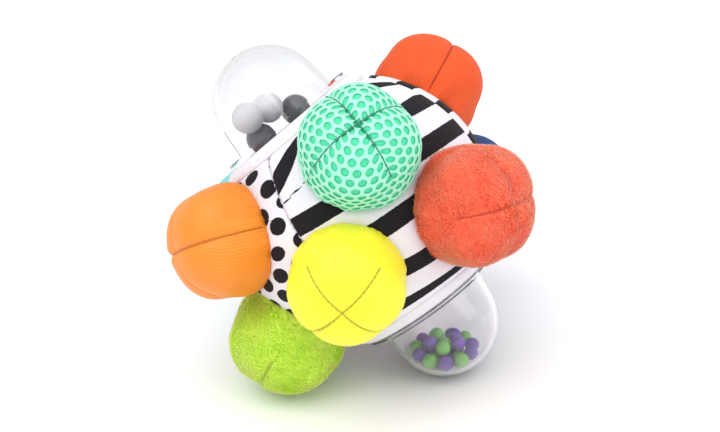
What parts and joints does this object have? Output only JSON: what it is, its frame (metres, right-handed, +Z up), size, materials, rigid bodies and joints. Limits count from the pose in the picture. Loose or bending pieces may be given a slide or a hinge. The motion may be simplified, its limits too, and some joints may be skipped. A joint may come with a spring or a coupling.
{
  "type": "sensory ball",
  "caption": "Stuffed cloth ball for babies with soft bumps of different textures, a striped and dotted cover and clear rattle domes with loose balls and beads.",
  "frame": {"origin": "on the surface that the ball stands on, below the middle of its box", "axes": "+Z up; the picture looks along +Y with +X to the right"},
  "size_m": [0.1422, 0.1608, 0.1329],
  "materials": {
    "stuffing": "loose white polyester fibre",
    "striped_cloth": "smooth woven cloth printed with bold black and white waves",
    "dotted_cloth": "smooth woven white cloth printed with black ovals",
    "white_cloth": "plain white woven strip",
    "mint_cloth": "mint spacer mesh with oval holes",
    "red_cloth": "red ribbed cloth",
    "violet_cloth": "violet plush",
    "turquoise_cloth": "smooth turquoise satin",
    "orange_cloth": "orange satin with fine ribs",
    "coral_cloth": "coral short pile plush",
    "blue_cloth": "blue ribbed cloth",
    "pink_cloth": "pink ribbed cloth",
    "lime_cloth": "lime short pile plush",
    "yellow_cloth": "yellow fine ribbed satin",
    "clear_plastic": "clear glossy moulded plastic",
    "white_plastic": "plain moulded plastic",
    "white_ball_plastic": "glossy moulded plastic",
    "dark_ball_plastic": "glossy moulded plastic",
    "purple_bead_plastic": "glossy moulded plastic",
    "green_bead_plastic": "glossy moulded plastic"
  },
  "bodies": {
    "ball": {"core_filling": "stuffing", "striped_panel_front": "striped_cloth", "dotted_panel_left": "dotted_cloth", "striped_panel_right": "striped_cloth", "dotted_panel_back": "dotted_cloth", "mint_bump": "mint_cloth", "mint_filling": "stuffing", "red_bump": "red_cloth", "red_filling": "stuffing", "violet_bump": "violet_cloth", "violet_filling": "stuffing", "turquoise_bump": "turquoise_cloth", "turquoise_filling": "stuffing", "orange_bump": "orange_cloth", "orange_filling": "stuffing", "coral_bump": "coral_cloth", "coral_filling": "stuffing", "blue_bump": "blue_cloth", "blue_filling": "stuffing", "pink_bump": "pink_cloth", "pink_filling": "stuffing", "lime_bump": "lime_cloth", "lime_filling": "stuffing", "yellow_bump": "yellow_cloth", "yellow_filling": "stuffing", "upper_strip": "white_cloth", "upper_ring": "white_plastic", "upper_disc": "clear_plastic", "upper_dome": "clear_plastic", "lower_strip": "white_cloth", "lower_ring": "white_plastic", "lower_disc": "clear_plastic", "lower_dome": "clear_plastic"},
    "rattle_ball_white_a_body": {"rattle_ball_white_a": "white_ball_plastic"},
    "rattle_ball_dark_a_body": {"rattle_ball_dark_a": "dark_ball_plastic"},
    "rattle_ball_white_b_body": {"rattle_ball_white_b": "white_ball_plastic"},
    "rattle_ball_dark_b_body": {"rattle_ball_dark_b": "dark_ball_plastic"},
    "bead_heap": {"purple_beads": "purple_bead_plastic", "green_beads": "green_bead_plastic"}
  },
  "joints": [
    {"name": "rattle_ball_white_a_slide", "type": "slide", "parent": "ball", "child": "rattle_ball_white_a_body", "axis": [-0.5951, 0.2446, 0.7655], "range_m": [0, 0.0074]},
    {"name": "rattle_ball_dark_a_slide", "type": "slide", "parent": "ball", "child": "rattle_ball_dark_a_body", "axis": [0.802, 0.2421, 0.5461], "range_m": [0, 0.004]},
    {"name": "rattle_ball_white_b_slide", "type": "slide", "parent": "ball", "child": "rattle_ball_white_b_body", "axis": [-0.5951, 0.2446, 0.7655], "range_m": [0, 0.0143]},
    {"name": "rattle_ball_dark_b_slide", "type": "slide", "parent": "ball", "child": "rattle_ball_dark_b_body", "axis": [-0.0518, 0.9389, -0.3402], "range_m": [0, 0.004]},
    {"name": "bead_heap_roll", "type": "hinge", "parent": "ball", "child": "bead_heap", "pos_m": [0.0349, -0.01557, 0.0224], "axis": [0.5399, -0.2751, -0.7955], "continuous": true}
  ]
}
